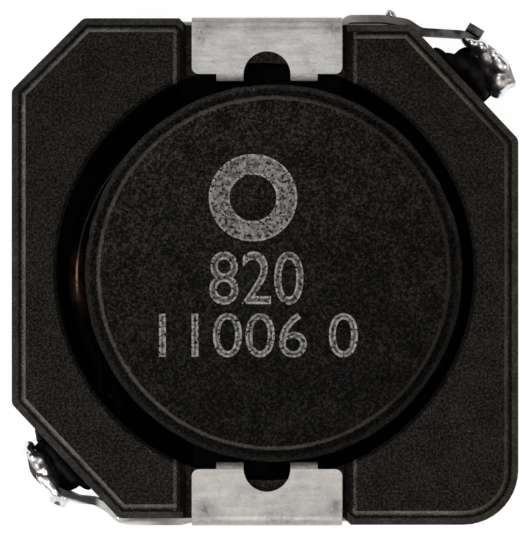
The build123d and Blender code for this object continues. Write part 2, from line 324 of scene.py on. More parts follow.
# %% Lay the floor
FLOOR_SIZE = 900.0
FLOOR_DROP = 0.01
floor_mesh = bpy.data.meshes.new("floor")
floor_shape = bmesh.new()
bmesh.ops.create_grid(floor_shape, x_segments=1, y_segments=1, size=FLOOR_SIZE / 2 * MM)
floor_shape.to_mesh(floor_mesh)
floor_shape.free()
floor_mesh.materials.append(PAPER)
floor = bpy.data.objects.new("floor", floor_mesh)
floor.location.z = -FLOOR_DROP * MM
bpy.context.scene.collection.objects.link(floor)
print("floor laid, in mm:", FLOOR_SIZE)

# %% [markdown]
# ## Ferrite
# Both cores are pressed from ferrite powder and fired. The face keeps the grain of the
# powder: a near-black grey with fine pale specks and faint clouds. The pressed land round
# the rim is paler. The crest of its small step gets a painted highlight, strongest on the
# left, and the foot of the step painted shade; on the shield the walls of the recess beside
# each plate get painted shade, with a painted highlight along their edge. The drum's face is
# painted darker on the right as shade, and the shield's a little warmer there, a painted
# warm reflection. On the shield the height of a point and the way that it faces tell these
# zones apart, and on the drum its distance from the middle does, so no picture is needed.

# %% Find the parts of the shield's rim
# Heights below the top face, in mm
RIM_FOOT = (-0.22, -0.16)
LAND_TOP = (-0.09, -0.05)
STEP_SLOPE = (-0.085, -0.02)

# Bands in mm from the part's middle: where each starts, is full, fades and ends
BESIDE_PLATE = (3.60, 3.70, 4.74, 4.80)
# Beside each plate the recess wall gets painted shade, and its edge a painted highlight
RECESS_SHADE_BAND = (1.55, 1.59, 1.74, 1.78)
RECESS_EDGE_HIGHLIGHT = (1.74, 1.79, 1.80, 1.85)


def shield_zones(recipe):
    """Land, foot and crest of the shield's rim, each 0 to 1, and how strong the crest's painted
    highlight is
    """
    height = recipe.axis("Z") - SHIELD_TOP
    upward = recipe.axis("Z", recipe.add("ShaderNodeTexCoord", output="Normal"))
    flat = upward.rise(0.9, 0.97)
    rim = height.rise(*RIM_FOOT)
    low = 1 - height.rise(*LAND_TOP)
    crest = height.rise(*STEP_SLOPE) * (1 - flat) * upward.rise(0.1, 0.3)
    crest = crest * recipe.away().rise(4.35, 4.45)
    across = recipe.span("X")
    beside = recipe.span("Y").band(*BESIDE_PLATE)
    wear_and_shade = across.band(*RECESS_SHADE_BAND) * beside
    recess_edge_highlight = across.band(*RECESS_EDGE_HIGHLIGHT) * beside
    crest = (crest * (1 - wear_and_shade)).most(0.45 * recess_edge_highlight)
    foot = ((1 - flat) * rim * (1 - crest)).most(wear_and_shade)
    # The crest's painted highlight is strongest on the left, where most light comes from
    highlight_strength = 1.2 - 0.7 * recipe.axis("X").rise(3.2, 4.8)
    return flat * rim * low * (1 - wear_and_shade), foot, crest, highlight_strength


print("shield's top face in mm:", round(SHIELD_TOP, 3))

# %% Find the parts of the drum's rim
DRUM_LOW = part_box("drum_core")[0] / MM
DRUM_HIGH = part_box("drum_core")[1] / MM
DRUM_MIDDLE = Vector(((DRUM_LOW.x + DRUM_HIGH.x) / 2, (DRUM_LOW.y + DRUM_HIGH.y) / 2, 0))

# Bands in mm from the drum's middle: the crest gets a painted highlight, the foot painted shade
DRUM_CREST = (3.44, 3.48, 3.51, 3.55)
DRUM_FOOT = (3.52, 3.56, 3.63, 3.69)
DRUM_LAND = (3.65, 3.71)


def drum_zones(recipe):
    """The same of the drum's rim, by the distance from its middle"""
    reach = recipe.away(tuple(DRUM_MIDDLE))
    top = (recipe.axis("Z") - DRUM_HIGH.z).rise(-0.20, -0.15)
    crest = reach.band(*DRUM_CREST) * top
    foot = reach.band(*DRUM_FOOT) * top
    land = reach.rise(*DRUM_LAND) * top
    # The crest's painted highlight is strongest on the left, where most light comes from
    highlight_strength = 1.2 - 0.85 * recipe.axis("X").rise(-0.2, 3.4)
    return land, foot, crest, highlight_strength


print("drum's middle in mm:", [round(side, 3) for side in DRUM_MIDDLE])

# %% Mix the ferrite finish
PLAIN = (1.03, 0.99, 0.95)


def ferrite(name, left, right, zones, far_gain, grain_scale, contrast, land_gain, crest_gain):
    """Pressed ferrite: its colours to either side, its rim, its grain, and the rim's gains"""
    recipe = Recipe(name)
    grain = recipe.noise(grain_scale, 2.0, 0.55).rise(0.36, 0.64)
    fine = recipe.noise(1.6 * grain_scale, 1.0, 0.5).rise(0.34, 0.66)
    cloud = recipe.noise(1.6, 4.0, 0.65).rise(0.3, 0.7)
    speck = 1 - recipe.cells(2.4).rise(0.05, 0.11)
    land, foot, crest, highlight_strength = zones(recipe)
    highlight_strength = highlight_strength * (0.7 + 0.6 * recipe.noise(2.0, 2.0).rise(0.3, 0.7))

    # The grain gives a plain face its level of grey, and the pale land and the crest's painted
    # highlight lose their grain
    level = (0.20 + 0.68 * grain + 0.56 * fine + 0.24 * cloud) ** contrast
    smooth = (0.8 * crest).most(0.6 * land)
    level = level + smooth * (1 - level) + 1.3 * speck * grain

    # The land is paler, the crest gets a painted highlight, the foot of the step painted shade
    gain = 1 + land * land_gain * (0.6 + 0.8 * cloud) + crest * crest_gain * highlight_strength - 0.5 * foot
    lengthways = 1 + far_gain * (1 - crest) * (recipe.axis("Y").rise(-4.0, 5.0) - 0.4)
    # Across the face the colour goes from left to right: painted shade and a warm reflection
    side = recipe.axis("X").rise(-5.0, 5.0)
    fired = recipe.colour(side, left, right)
    fired = recipe.colour((0.7 * smooth).most(0.6 * cloud), fired, recipe.tint(PLAIN, left[1]))
    tone = recipe.tint(fired, level * gain * lengthways)
    return recipe.surface(
        Base_Color=tone,
        Roughness=0.62 + 0.2 * fine,
        Specular_IOR_Level=0.05,
        Normal=recipe.bump(0.6 * grain + 0.4 * fine, 0.008),
    )


print("tint of plain ferrite:", PLAIN)

# %% Dress the shield
def dress(node, material):
    """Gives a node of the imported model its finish"""
    mesh = nodes[node].data
    mesh.materials.clear()
    mesh.materials.append(material)
    print(node, "dressed in", material.name)


# Each core's colour on its left and right: the drum's right is painted shade, and the shield's
# warmer right a painted warm reflection
SHIELD_LEFT = (0.0150, 0.0138, 0.0106, 1)
SHIELD_RIGHT_WARM_REFLECTION = (0.0146, 0.0122, 0.0086, 1)
DRUM_LEFT = (0.0116, 0.0104, 0.0082, 1)
DRUM_SHADED_RIGHT = (0.0066, 0.0056, 0.0046, 1)
SHIELD_FERRITE = ferrite(
    "shield_ferrite",
    SHIELD_LEFT,
    SHIELD_RIGHT_WARM_REFLECTION,
    shield_zones,
    far_gain=-0.15,
    grain_scale=20.0,
    contrast=1.9,
    land_gain=1.4,
    crest_gain=6.5,
)
DRUM_FERRITE = ferrite(
    "drum_ferrite",
    DRUM_LEFT,
    DRUM_SHADED_RIGHT,
    drum_zones,
    far_gain=0.70,
    grain_scale=18.0,
    contrast=2.6,
    land_gain=0.5,
    crest_gain=3.6,
)
dress("shield_core", SHIELD_FERRITE)

# %% [markdown]
# ## Tinned sheet
# The terminals are cut from thin tinned sheet and folded. Dull tin is pale and slightly
# warm, with soft clouds where it was handled, a grain of tiny pits, and darker smudges near
# the edges. It is partly metallic here: the thin oxide scatters about half of the light.
# Heat and flux have stained the arms, and the far arm is darkened further with painted
# shade. The near arm gets a painted glare, nearly white, and painted shade at the corner.
# The fold of each plate gets a painted highlight on its ridge and painted shade in its dip,
# the far plate's cut edge a painted glint, and the sheet painted shade where it lies under
# the drum. Each of these marks is a mask over one plain tin, so that they can be set one by
# one.

# %% Roll the plain tin
TIN_DARK = grey(0.30, 0.03)
TIN_PALE = grey(0.62, 0.02)


def rolled_tin(recipe, cloud, grain, rolled):
    """The colour of dull tin, with its smudges and pits"""
    smudge = recipe.noise(4.5, 3.0, 0.65).rise(0.58, 0.76)
    pit = 1 - recipe.cells(7.0).rise(0.05, 0.16)
    level = 0.35 * cloud + 0.4 * grain + 0.25 * rolled
    tin = recipe.colour(level, TIN_DARK, TIN_PALE)
    tin = recipe.colour(0.55 * smudge, tin, grey(0.22, 0.06))
    return recipe.colour(0.45 * pit * grain, tin, grey(0.10, 0.04))


print("plain tin runs from grey", TIN_DARK[1], "to", TIN_PALE[1])

# %% Mark the plates
# Reaches and bands in mm from the part's middle
PLATE_EDGE = (1.48, 1.54)
# The fold's ridge gets a painted highlight and its dip painted shade; one cut edge a painted
# glint
FOLD_RIDGE = (4.86, 4.92, 4.93, 4.99)
FOLD_DIP = (4.74, 4.84, 4.85, 4.91)
BURR_GLINT_EDGE = (-1.50, -1.47)
TARNISH = (0.50, 0.36, 0.16, 1)

# Each smudge: its middle in mm, and how far it reaches
SMUDGES = (
    ((-1.31, 4.76, 0), 0.16),
    ((-1.29, 4.64, 0), 0.13),
    ((-1.14, 4.84, 0), 0.12),
    ((1.30, 4.85, 0), 0.15),
    ((1.44, 4.84, 0), 0.12),
    ((-1.19, -4.76, 0), 0.18),
    ((1.40, -4.74, 0), 0.16),
    ((1.42, -4.62, 0), 0.12),
)


def marked_plates(recipe, tin, cloud, grain, far_side):
    """The tin with a painted highlight and shade at the fold, smudges, and a painted edge glint
    """
    lengthways = recipe.span("Y")
    on_plate = 1 - recipe.span("X").rise(*PLATE_EDGE)
    ridge = lengthways.band(*FOLD_RIDGE) * on_plate
    smudged_and_shaded = lengthways.band(*FOLD_DIP) * on_plate * 0.2
    tin = recipe.colour(0.5 * ridge * cloud, tin, grey(0.80, 0.02))
    tin = recipe.colour(0.12 * (1 - far_side) * cloud, tin, TARNISH)
    for spot, reach in SMUDGES:
        near = 1 - recipe.away(spot).rise(0.0, 1.5 * reach)
        smudged_and_shaded = smudged_and_shaded.most(0.8 * near)
    tin = recipe.colour(smudged_and_shaded * (0.4 + 0.6 * grain), tin, grey(0.12, 0.06))
    burr_glint = (1 - recipe.axis("X").rise(*BURR_GLINT_EDGE)) * on_plate * far_side
    return recipe.colour(0.5 * burr_glint, tin, grey(0.90, 0.01))


print("smudges on the plates:", len(SMUDGES))

# %% Stain the arms, and paint their shade and glare
# Reaches and bands in mm from the part's middle
ARM_START = (1.55, 2.20)
# The far arm's band of heat stain is painted shade as well
ARM_HEAT_AND_SHADE = (2.3, 3.6, 4.3, 4.7)
HOOK_START = (4.3, 4.7)
# How far the painted glare on the near arm reaches
GLARE_REACH = (1.9, 2.6, 4.40, 4.45)
CORNER_START = (3.30, 3.45)
ARM_SLOPE = (0.319, 1.121)
OUTER_HALF = (6.37, 6.44)
EAR_TIP = (-4.21, -4.71, 0)


def near_arm_glare(recipe, corner, far_side):
    """Where the near arm gets a painted glare, nearly white: most of it, and at the corner its
    outer half
    """
    sideways = recipe.span("X")
    lengthways = recipe.span("Y")
    outer_half = (ARM_SLOPE[0] * sideways + ARM_SLOPE[1] * lengthways).rise(*OUTER_HALF)
    pale = lengthways.rise(5.00, 5.10).most(0.8 * sideways.rise(2.6, 3.0)) * (1 - corner)
    pale = pale + outer_half * corner
    return pale * sideways.band(*GLARE_REACH) * (1 - far_side)


def stained_and_shaded_arms(recipe, tin, pale, corner, far_side, under):
    """The tin with heat stains and painted shade on the arms, and painted shade under the drum
    """
    sideways = recipe.span("X")
    # The arms darken towards the hooks from heat stains, and the far arm also from painted
    # shade
    stain_and_shade = sideways.rise(*ARM_START) * (0.45 + 0.10 * far_side)
    stain_and_shade = stain_and_shade + sideways.band(*ARM_HEAT_AND_SHADE) * 0.38 * far_side
    stain_and_shade = stain_and_shade * (1 - 0.7 * sideways.rise(*HOOK_START))
    ear_tip = 1 - recipe.away(EAR_TIP).rise(0.04, 0.08)
    # At the corner the near arm gets painted shade, and the painted glare turns it nearly white
    tin = recipe.colour(0.9 * corner * (1 - far_side), tin, grey(0.02, 0.05))
    tin = recipe.colour(0.95 * pale, tin, grey(0.97, 0.01))
    wear_and_shade = far_side * sideways.rise(3.0, 3.6) * recipe.noise(3.4, 2.0).rise(0.40, 0.66)
    stain_and_shade = (stain_and_shade * (1 - pale) * (1.12 - 0.35 * wear_and_shade)).most(0.9 * ear_tip).most(under)
    return recipe.colour(stain_and_shade, tin, grey(0.006, 0.05))


print("heat stains an arm from, in mm:", ARM_HEAT_AND_SHADE[0])

# %% Dress the terminals
def tinned_sheet():
    """Dull tin with the marks on its plates and arms"""
    recipe = Recipe("tinned_sheet")
    cloud = recipe.noise(1.6, 3.0, 0.6).rise(0.3, 0.7)
    grain = recipe.noise(12.0, 2.0, 0.6).rise(0.32, 0.68)
    rolled = recipe.noise(6.0, 2.0, 0.5, (0.3, 1.6, 1.0)).rise(0.3, 0.7)
    far_side = recipe.axis("Y").rise(0.0, 1.0)
    corner = recipe.span("X").rise(*CORNER_START)
    # Painted shade where the sheet lies low under the drum, which is also made dull there
    under = (1 - recipe.away().rise(4.25, 4.4)) * (1 - recipe.axis("Z").rise(2.2, 3.2))
    pale = near_arm_glare(recipe, corner, far_side)
    tin = rolled_tin(recipe, cloud, grain, rolled)
    tin = marked_plates(recipe, tin, cloud, grain, far_side)
    return recipe.surface(
        Base_Color=stained_and_shaded_arms(recipe, tin, pale, corner, far_side, under),
        Metallic=0.6 * (1 - under.most(pale)),
        Roughness=(0.42 + 0.16 * grain).most(under),
        Normal=recipe.bump(0.5 * grain + 0.5 * rolled, 0.006),
    )


TIN = tinned_sheet()
dress("start_terminal", TIN)
dress("finish_terminal", TIN)

# %% [markdown]
# ## Adhesive
# Beads of adhesive hold the drum in the middle of the bore. They lie low in the gap, where
# hardly any light reaches them, so they are nearly black and have no glints. The model has
# their shape, and only their finish is made here.

# %% Mix the adhesive finish
RESIN_DARK = (0.001, 0.001, 0.001, 1)
RESIN_PALE = (0.004, 0.003, 0.002, 1)


def cured_resin():
    """Dark cured adhesive, hardly glossy down in the gap"""
    recipe = Recipe("cured_resin")
    cloud = recipe.noise(3.0, 3.0)
    return recipe.surface(
        Base_Color=recipe.colour(cloud, RESIN_DARK, RESIN_PALE),
        Roughness=0.5 + 0.2 * cloud,
        Specular_IOR_Level=0.03,
        Normal=recipe.bump(cloud, 0.02),
    )


dress("core_adhesive", cured_resin())

# %% [markdown]
# ## A place for every piece
# Beside each big chamfer of the shield, places are measured from the chamfer's middle: out
# is square to it, and along runs beside it, away from the terminal. The finish corner is
# the start corner turned half round the part's axis.

# %% Measure from the chamfer
HALF_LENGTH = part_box("shield_core")[1].x / MM
HALF_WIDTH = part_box("shield_core")[1].y / MM
CHAMFER_X = 2.26
CHAMFER_Y = 2.41
chamfer_length = math.hypot(CHAMFER_X, CHAMFER_Y)
chamfer_middle = Vector((HALF_LENGTH - CHAMFER_X / 2, HALF_WIDTH - CHAMFER_Y / 2, 0))
outward = Vector((CHAMFER_Y, CHAMFER_X, 0)) / chamfer_length
onward = Vector((CHAMFER_X, -CHAMFER_Y, 0)) / chamfer_length


def corner_point(along, out, height, turn):
    """A point in mm beside the big chamfer; turn is 1, or -1 for the finish corner"""
    flat = (chamfer_middle + onward * along + outward * out) * turn
    return Vector((flat.x, flat.y, height))


def piece(name, points, faces, material, slot, stands_for=(), smooth=True):
    """A mesh piece from points in mm, which rides on the model's one body"""
    mesh = bpy.data.meshes.new(name)
    mesh.from_pydata([Vector(point) * MM for point in points], [], faces)
    mesh.validate()
    mesh.polygons.foreach_set("use_smooth", [smooth] * len(mesh.polygons))
    mesh.materials.append(material)
    made = bpy.data.objects.new(name, mesh)
    bpy.context.scene.collection.objects.link(made)
    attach(made, "root")
    if stands_for:
        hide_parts(*stands_for)
    print(name, "made, faces:", len(mesh.polygons))


print("chamfer length in mm:", round(chamfer_length, 3))

# %% [markdown]
# ## Drum
# The drum is pressed in one stroke and its rims come out a little ragged. It is turned here
# from its half section in fine steps, with every edge eased, and the top rim pushed in and
# out by a few hundredths of a millimetre.

# %% Turn the drum
FLANGE_RADIUS = (DRUM_HIGH.x - DRUM_LOW.x) / 2
FLANGE_THICKNESS = 0.70
POST_RADIUS = 2.05
RIM_LAND = 0.13
RIM_SLOPE = 0.15
RIM_STEP = 0.12
BASE_BEVEL = 0.10
EDGE_EASE = 0.03
CAP_RADIUS = 0.5
DRUM_SIDES = 168
RAGGED_REACH = 0.4
RAGGEDNESS = 0.02
RAGGED_SCALE = 3.0


def ease_corners(points, reach):
    """Replaces each inner corner of a line by three points, up to a reach either way"""
    eased = [points[0]]
    for before, corner, after in zip(points, points[1:], points[2:]):
        here = Vector(corner)
        back = here + (Vector(before) - here).normalized() * reach
        ahead = here + (Vector(after) - here).normalized() * reach
        eased += [back, (back + ahead) / 4 + here / 2, ahead]
    eased.append(points[-1])
    return [tuple(point) for point in eased]


def ring_faces(rings, sides):
    """Faces between rings of points, one after another, with a cap at either end"""
    faces = []
    for ring in range(rings - 1):
        for side in range(sides):
            here = ring * sides + side
            after = ring * sides + (side + 1) % sides
            faces.append((here, after, after + sides, here + sides))
    last = (rings - 1) * sides
    faces.append(tuple(reversed(range(sides))))
    faces.append(tuple(range(last, last + sides)))
    return faces


def turn_profile(profile, middle, sides, raggedness):
    """Points and faces of a solid turned about an upright line"""
    points = []
    for radius, height in profile:
        for side in range(sides):
            angle = 2 * math.pi * side / sides
            way = Vector((math.cos(angle), math.sin(angle), 0))
            spot = middle + way * radius + Vector((0, 0, height))
            spot += way * raggedness(radius, height) * noise.noise(spot * RAGGED_SCALE)
            points.append(spot)
    return points, ring_faces(len(profile), sides)


def rim_raggedness(radius, height):
    """How far the top rim may be pushed in or out, in mm"""
    at_rim = radius > FLANGE_RADIUS - RAGGED_REACH and height > DRUM_HIGH.z - RAGGED_REACH
    return RAGGEDNESS if at_rim else 0.0


drum_line = ease_corners([
    (CAP_RADIUS, DRUM_LOW.z),
    (FLANGE_RADIUS - BASE_BEVEL, DRUM_LOW.z),
    (FLANGE_RADIUS, DRUM_LOW.z + BASE_BEVEL),
    (FLANGE_RADIUS, DRUM_LOW.z + FLANGE_THICKNESS),
    (POST_RADIUS, DRUM_LOW.z + FLANGE_THICKNESS),
    (POST_RADIUS, DRUM_HIGH.z - FLANGE_THICKNESS),
    (FLANGE_RADIUS, DRUM_HIGH.z - FLANGE_THICKNESS),
    (FLANGE_RADIUS, DRUM_HIGH.z - RIM_STEP),
    (FLANGE_RADIUS - RIM_LAND, DRUM_HIGH.z - RIM_STEP),
    (FLANGE_RADIUS - RIM_LAND - RIM_SLOPE, DRUM_HIGH.z),
    (CAP_RADIUS, DRUM_HIGH.z),
], EDGE_EASE)
drum_shape = turn_profile(drum_line, DRUM_MIDDLE, DRUM_SIDES, rim_raggedness)
piece("pressed_drum", *drum_shape, DRUM_FERRITE, "drum_ferrite", ["drum_core"])

# %% [markdown]
# ## Enamelled wire
# Two strands of enamelled copper are wound together. A tube is swept along a worked-out
# path: level turns with a short crossover, layer upon layer, as a winding machine lays
# them. Where a lead nears its hook the heat of soldering has charred the enamel black, and
# the black there is painted shade as well.

# %% Sweep a round tube
def tube(path, radius, sides):
    """Points and faces of a closed round tube along a list of points, all in mm"""
    path = np.array([tuple(point) for point in path])
    ahead = np.gradient(path, axis=0)
    ahead /= np.linalg.norm(ahead, axis=1)[:, None]
    across = np.cross(ahead[0], (0.0, 0.0, 1.0))
    points = []
    for spot, way in zip(path, ahead):
        across = across - way * (across @ way)
        across /= np.linalg.norm(across)
        above = np.cross(across, way)
        for side in range(sides):
            angle = 2 * math.pi * side / sides
            points.append(spot + radius * (math.cos(angle) * across + math.sin(angle) * above))
    return points, ring_faces(len(path), sides)


def round_off(path, passes=3):
    """Cuts the corners of a path again and again, so that they turn into bends"""
    path = [Vector(point) for point in path]
    for _ in range(passes):
        softer = [path[0]]
        for first, second in zip(path, path[1:]):
            softer.append(first.lerp(second, 0.25))
            softer.append(first.lerp(second, 0.75))
        softer.append(path[-1])
        path = softer
    return path


print("a square corner turns into points:", len(round_off([(0, 0, 0), (1, 0, 0), (1, 1, 0)])))

# %% Work out the turns
STRAND_RADIUS = 0.17
STRAND_PITCH = 0.35
LAYER_PITCH = 0.32
POST_FIT = 0.03
LAYERS = 4
TURNS_IN_LAYER = 3
STEPS_IN_TURN = 72
CROSSOVER = 0.12
FIRST_TURN_AT = math.radians(20)
WINDING_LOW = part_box("winding")[0].z / MM


def turn_level(turn):
    """Which level of the window a turn lies on: up one layer and down the next"""
    layer, place = divmod(turn, TURNS_IN_LAYER)
    return place if layer % 2 == 0 else TURNS_IN_LAYER - 1 - place


def wound_strand(strand):
    """The path of one of the two strands, from the post outwards"""
    path = []
    turns = LAYERS * TURNS_IN_LAYER
    for step in range(turns * STEPS_IN_TURN + 1):
        turn, share = divmod(step / STEPS_IN_TURN, 1.0)
        turn = min(int(turn), turns - 1)
        following = min(turn + 1, turns - 1)
        shift = min(1.0, max(0.0, (share - 1 + CROSSOVER) / CROSSOVER))
        shift = shift * shift * (3 - 2 * shift)
        level = turn_level(turn) + (turn_level(following) - turn_level(turn)) * shift
        layer = turn // TURNS_IN_LAYER
        layer += (following // TURNS_IN_LAYER - layer) * shift
        radius = POST_RADIUS + POST_FIT + STRAND_RADIUS + layer * LAYER_PITCH
        height = WINDING_LOW + STRAND_PITCH * (2 * level + strand + 0.5)
        angle = 2 * math.pi * step / STEPS_IN_TURN + FIRST_TURN_AT
        spot = Vector((radius * math.cos(angle), radius * math.sin(angle), height))
        path.append(DRUM_MIDDLE + spot)
    return path


print("turns in each strand:", LAYERS * TURNS_IN_LAYER)

# %% Work out the leads
# Places in mm from the chamfer's middle, onward along it and outward from it
LEAD_LEVEL = WINDING_LOW + STRAND_PITCH / 2
RAISED_LEVEL = LEAD_LEVEL + STRAND_PITCH
NEAR_OUT = 0.20
FAR_OUT = NEAR_OUT + STRAND_PITCH
FINISH_FAR_OUT = FAR_OUT - 0.16
FAR_ALONG = -0.30
NEAR_ALONG = 0.10
FAR_TAIL = 0.40
NEAR_TAIL = 0.74
START_NEAR_TAIL = NEAR_TAIL - 0.08
HOOK_BEND = 0.3
ROOT_RADIUS = POST_RADIUS + 0.40
SWING_REACH = 4.0
SWING_STEPS = 48


def start_lead(along, out, tail):
    """Straight out over the lower flange, and round into the hook"""
    root_out = ROOT_RADIUS - chamfer_middle.dot(outward)
    way = [(along, root_out), (along, (root_out + out) / 2)]
    way += [(along, out - HOOK_BEND), (along, out), (along + HOOK_BEND, out), (tail, out)]
    return round_off([corner_point(*spot, LEAD_LEVEL, 1) for spot in way])


def finish_lead(along, out, tail, level, shift, toward, leave):
    """Round the gap beside the drum in a wide arc, out at the corner and into the hook"""
    turn = math.radians(toward)
    swing = DRUM_MIDDLE + Vector((math.cos(turn), math.sin(turn), 0)) * shift
    reach = SWING_REACH - shift
    aside = (onward * along - chamfer_middle - swing).dot(onward)
    arrive = math.degrees(math.atan2(-outward.y, -outward.x))
    arrive -= math.degrees(math.asin(aside / reach))
    arrive = arrive % 360
    path = []
    for step in range(SWING_STEPS - 1):
        angle = math.radians(leave + (arrive - leave) * step / SWING_STEPS)
        spot = swing + Vector((math.cos(angle), math.sin(angle), 0)) * reach
        path.append((spot.x, spot.y, level))
    way = [(along, out - 3 * HOOK_BEND)]
    way += [(along, out - HOOK_BEND), (along, out), (along + HOOK_BEND, out), (tail, out)]
    path += [corner_point(*spot, level, -1) for spot in way]
    return round_off(path, 2)


print("leads leave at", round(LEAD_LEVEL, 3), "and", round(RAISED_LEVEL, 3))

# %% Mix the enamel finish
# The wire is painted as dark shade almost everywhere. Copper colour and metal show only round
# one spot of the outer turns, a painted glint, and by the hooks the wire is black: charred
# enamel, and painted shade as well
COPPER_GLINT_SPOT = (-3.78, -0.36, 0)
COPPER_DARK = (0.15, 0.088, 0.055, 1)
COPPER_PALE = (0.24, 0.145, 0.092, 1)
SHADED_ENAMEL = (0.006, 0.004, 0.003, 1)
BURNT_AND_SHADED_ENAMEL = (0.004, 0.003, 0.003, 1)


def enamelled_copper():
    """Painted-shade enamel, a painted copper glint on one arc, and char and shade at the hooks
    """
    recipe = Recipe("enamelled_copper")
    ripple = recipe.noise(4.0, 2.0)
    patch = recipe.noise(1.2, 2.0).rise(0.3, 0.7)
    corner = recipe.axis("X") * outward.x + recipe.axis("Y") * outward.y
    charred_and_shaded = (corner.most(corner * -1) + 0.4 * ripple).rise(2.9, 3.6)
    copper_glint = 1 - recipe.away(COPPER_GLINT_SPOT).rise(0.20, 0.95)
    copper = recipe.colour(ripple, COPPER_DARK, COPPER_PALE)
    copper = recipe.colour(patch, recipe.tint(copper, 0.5), copper)
    copper = recipe.colour(copper_glint, SHADED_ENAMEL, copper)
    return recipe.surface(
        Base_Color=recipe.colour(charred_and_shaded, copper, BURNT_AND_SHADED_ENAMEL),
        Metallic=copper_glint * (1 - charred_and_shaded),
        Roughness=0.24 + 0.40 * charred_and_shaded,
        Specular_IOR_Level=0.05,
        Normal=recipe.bump(recipe.noise(12.0, 2.0), 0.004),
    )


ENAMEL = enamelled_copper()
print("wire's finish:", ENAMEL.name)

# %% Wind the wire and lead it out
TURN_SIDES = 10
LEAD_SIDES = 16
wire_points = []
wire_faces = []


def lay(path, sides):
    """Adds one tube to the wire"""
    points, faces = tube(path, STRAND_RADIUS, sides)
    start = len(wire_points)
    wire_points.extend(points)
    wire_faces.extend([tuple(start + corner for corner in face) for face in faces])


far_finish = finish_lead(
    FAR_ALONG, FINISH_FAR_OUT, FAR_TAIL, LEAD_LEVEL, shift=0.54, toward=215, leave=75
)
near_finish = finish_lead(
    NEAR_ALONG, NEAR_OUT, NEAR_TAIL, RAISED_LEVEL, shift=0.45, toward=195, leave=52
)
for strand in (0, 1):
    lay(wound_strand(strand), TURN_SIDES)
lay(start_lead(FAR_ALONG, FAR_OUT, FAR_TAIL), LEAD_SIDES)
lay(start_lead(NEAR_ALONG, NEAR_OUT, START_NEAR_TAIL), LEAD_SIDES)
lay(far_finish, LEAD_SIDES)
lay(near_finish, LEAD_SIDES)
piece("wound_wire", wire_points, wire_faces, ENAMEL, "enamelled_copper", ["winding"])

# %% [markdown]
# ## Solder
# Each hook was dipped and filled with solder, which froze in uneven rounded lumps. A lump
# is made by adding balls along the hook, closing them into one skin with a voxel remesh,
# and pushing the skin in and out with smooth noise. A bright metal mirrors the lamps in a
# few glints and the dark room everywhere else.

# %% Melt balls into one lump
EASE_PASSES = 24
WAVE = 3.2
RIPPLE = 6.0
RIPPLE_SHARE = 0.2


def lump(balls, turn, voxel, unevenness, seed):
    """Points and faces in mm of one skin round balls: along, out, height, three radii"""
    shape = bmesh.new()
    for along, out, height, long_radius, wide_radius, high_radius in balls:
        made = bmesh.ops.create_icosphere(shape, subdivisions=3, radius=1.0)
        middle = corner_point(along, out, height, turn)
        for vert in made["verts"]:
            flat = onward * (vert.co.x * long_radius) + outward * (vert.co.y * wide_radius)
            vert.co = middle + flat * turn + Vector((0, 0, vert.co.z * high_radius))
    mesh = bpy.data.meshes.new("balls")
    shape.to_mesh(mesh)
    shape.free()
    rough = bpy.data.objects.new("balls", mesh)
    bpy.context.scene.collection.objects.link(rough)
    skin = rough.modifiers.new("skin", "REMESH")
    skin.mode = "VOXEL"
    skin.voxel_size = voxel
    ease = rough.modifiers.new("ease", "SMOOTH")
    ease.iterations = EASE_PASSES
    bpy.context.view_layer.update()
    evaluated = rough.evaluated_get(bpy.context.evaluated_depsgraph_get())
    closed = bpy.data.meshes.new_from_object(evaluated)
    offset = Vector((seed, seed, seed))
    points = []
    for vert in closed.vertices:
        wave = noise.noise(vert.co * WAVE + offset)
        wave += RIPPLE_SHARE * noise.noise(vert.co * RIPPLE + offset)
        points.append(vert.co + vert.normal * wave * unevenness)
    faces = [tuple(face.vertices) for face in closed.polygons]
    bpy.data.objects.remove(rough)
    return points, faces


print("each skin is eased, times:", EASE_PASSES)

# %% Mix the solder finish
def bright_solder(name, soot, frost):
    """Frozen solder: how much soot lies on it, and how rough its skin is"""
    recipe = Recipe(name)
    skin = recipe.noise(4.0, 2.0, 0.5)
    dull = recipe.noise(2.5, 2.0).rise(0.52, 0.68)
    sooty = recipe.noise(3.4, 2.0).rise(0.50, 0.62)
    bright = recipe.colour(dull, grey(0.90, 0.02), grey(0.55, 0.04))
    return recipe.surface(
        Base_Color=recipe.colour(soot * sooty, bright, grey(0.03, 0.08)),
        Metallic=1.0,
        Roughness=frost + 0.10 * skin + 0.18 * dull,
        Normal=recipe.bump(skin, 0.012),
    )


START_SOLDER = bright_solder("sooty_solder", soot=0.55, frost=0.24)
FINISH_SOLDER = bright_solder("clean_solder", soot=0.3, frost=0.22)
print("solders:", START_SOLDER.name, FINISH_SOLDER.name)

